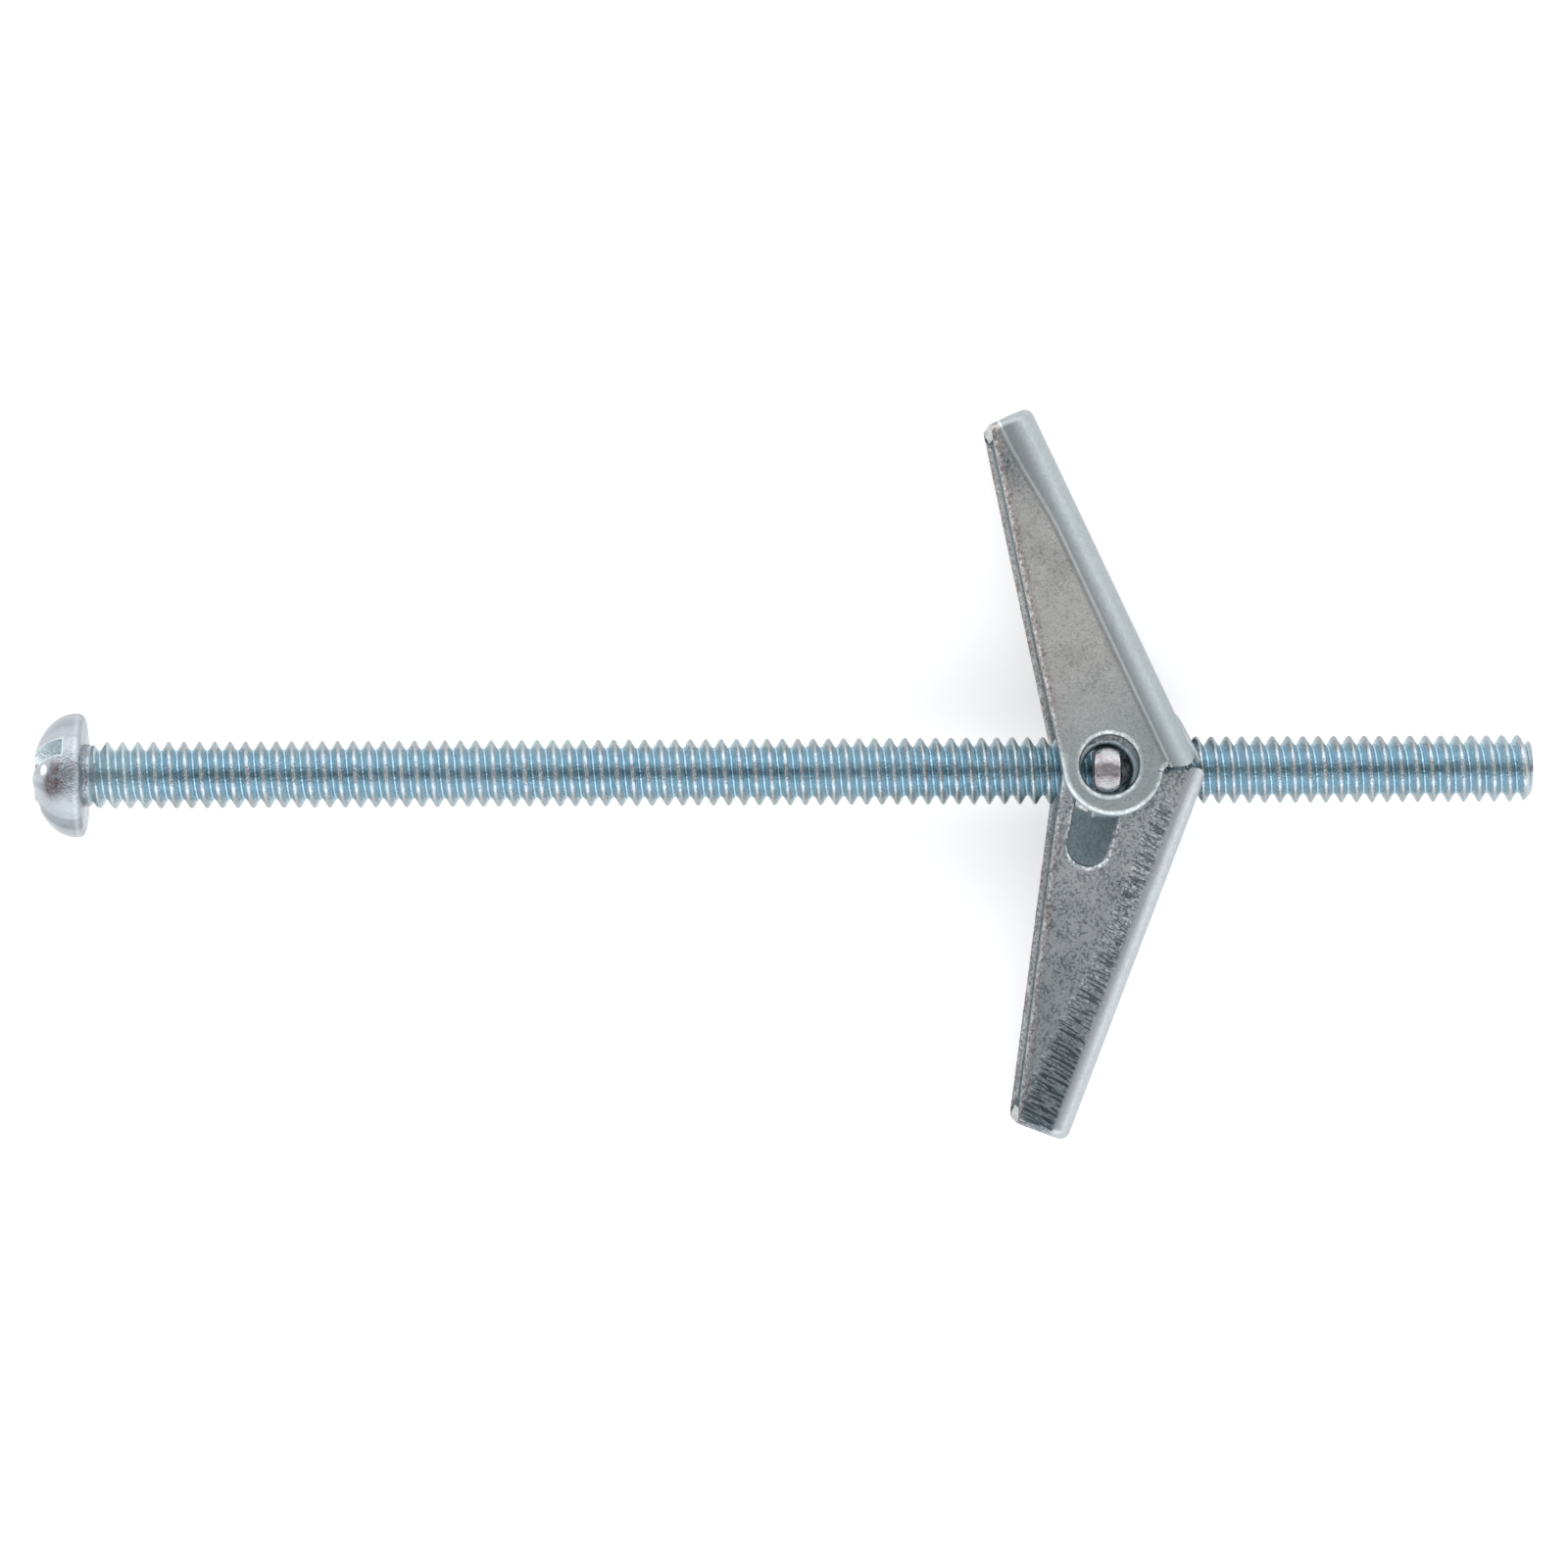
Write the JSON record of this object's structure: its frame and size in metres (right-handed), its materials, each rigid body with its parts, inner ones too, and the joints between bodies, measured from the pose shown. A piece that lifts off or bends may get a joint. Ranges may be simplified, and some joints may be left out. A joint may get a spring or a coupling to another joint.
{
  "type": "spring toggle bolt",
  "caption": "Long threaded machine screw with a round combination-drive head and a pair of spring-loaded folding sheet wings.",
  "frame": {"origin": "centre of the head's bearing face, on the screw's axis", "axes": "+X along the screw from the head to the threaded end; +Z along the wings' pivot, up from the floor the part lies on; +Y toward the upper wing's tip"},
  "size_m": [0.1034, 0.0492, 0.0126],
  "materials": {
    "screw_zinc": "bright blue zinc plate over rolled thread",
    "nut_zinc": "bright zinc plate over stamped steel",
    "spring_steel": "bright drawn spring wire",
    "wing_zinc": "satin zinc plate over folded sheet steel"
  },
  "bodies": {
    "screw": {"screw": "screw_zinc"},
    "trunnion": {"trunnion_nut": "nut_zinc", "torsion_spring": "spring_steel"},
    "upper_wing": {"upper_wing": "wing_zinc"},
    "lower_wing": {"lower_wing": "wing_zinc"}
  },
  "joints": [
    {"name": "toggle_travel", "type": "slide", "parent": "screw", "child": "trunnion", "axis": [1, 0, 0], "range_m": [-0.043, 0.025]},
    {"name": "upper_wing_fold", "type": "hinge", "parent": "trunnion", "child": "upper_wing", "pos_m": [0.0702, 0, 0], "axis": [0, 0, 1], "range_deg": [0, 64.9], "stiffness_Nm_per_rad": 0.02, "springref_deg": -34.38, "deforming": ["torsion_spring"]},
    {"name": "lower_wing_fold", "type": "hinge", "parent": "trunnion", "child": "lower_wing", "pos_m": [0.0702, 0, 0], "axis": [0, 0, -1], "range_deg": [0, 68.9], "stiffness_Nm_per_rad": 0.02, "springref_deg": -34.38, "deforming": ["torsion_spring"]}
  ]
}
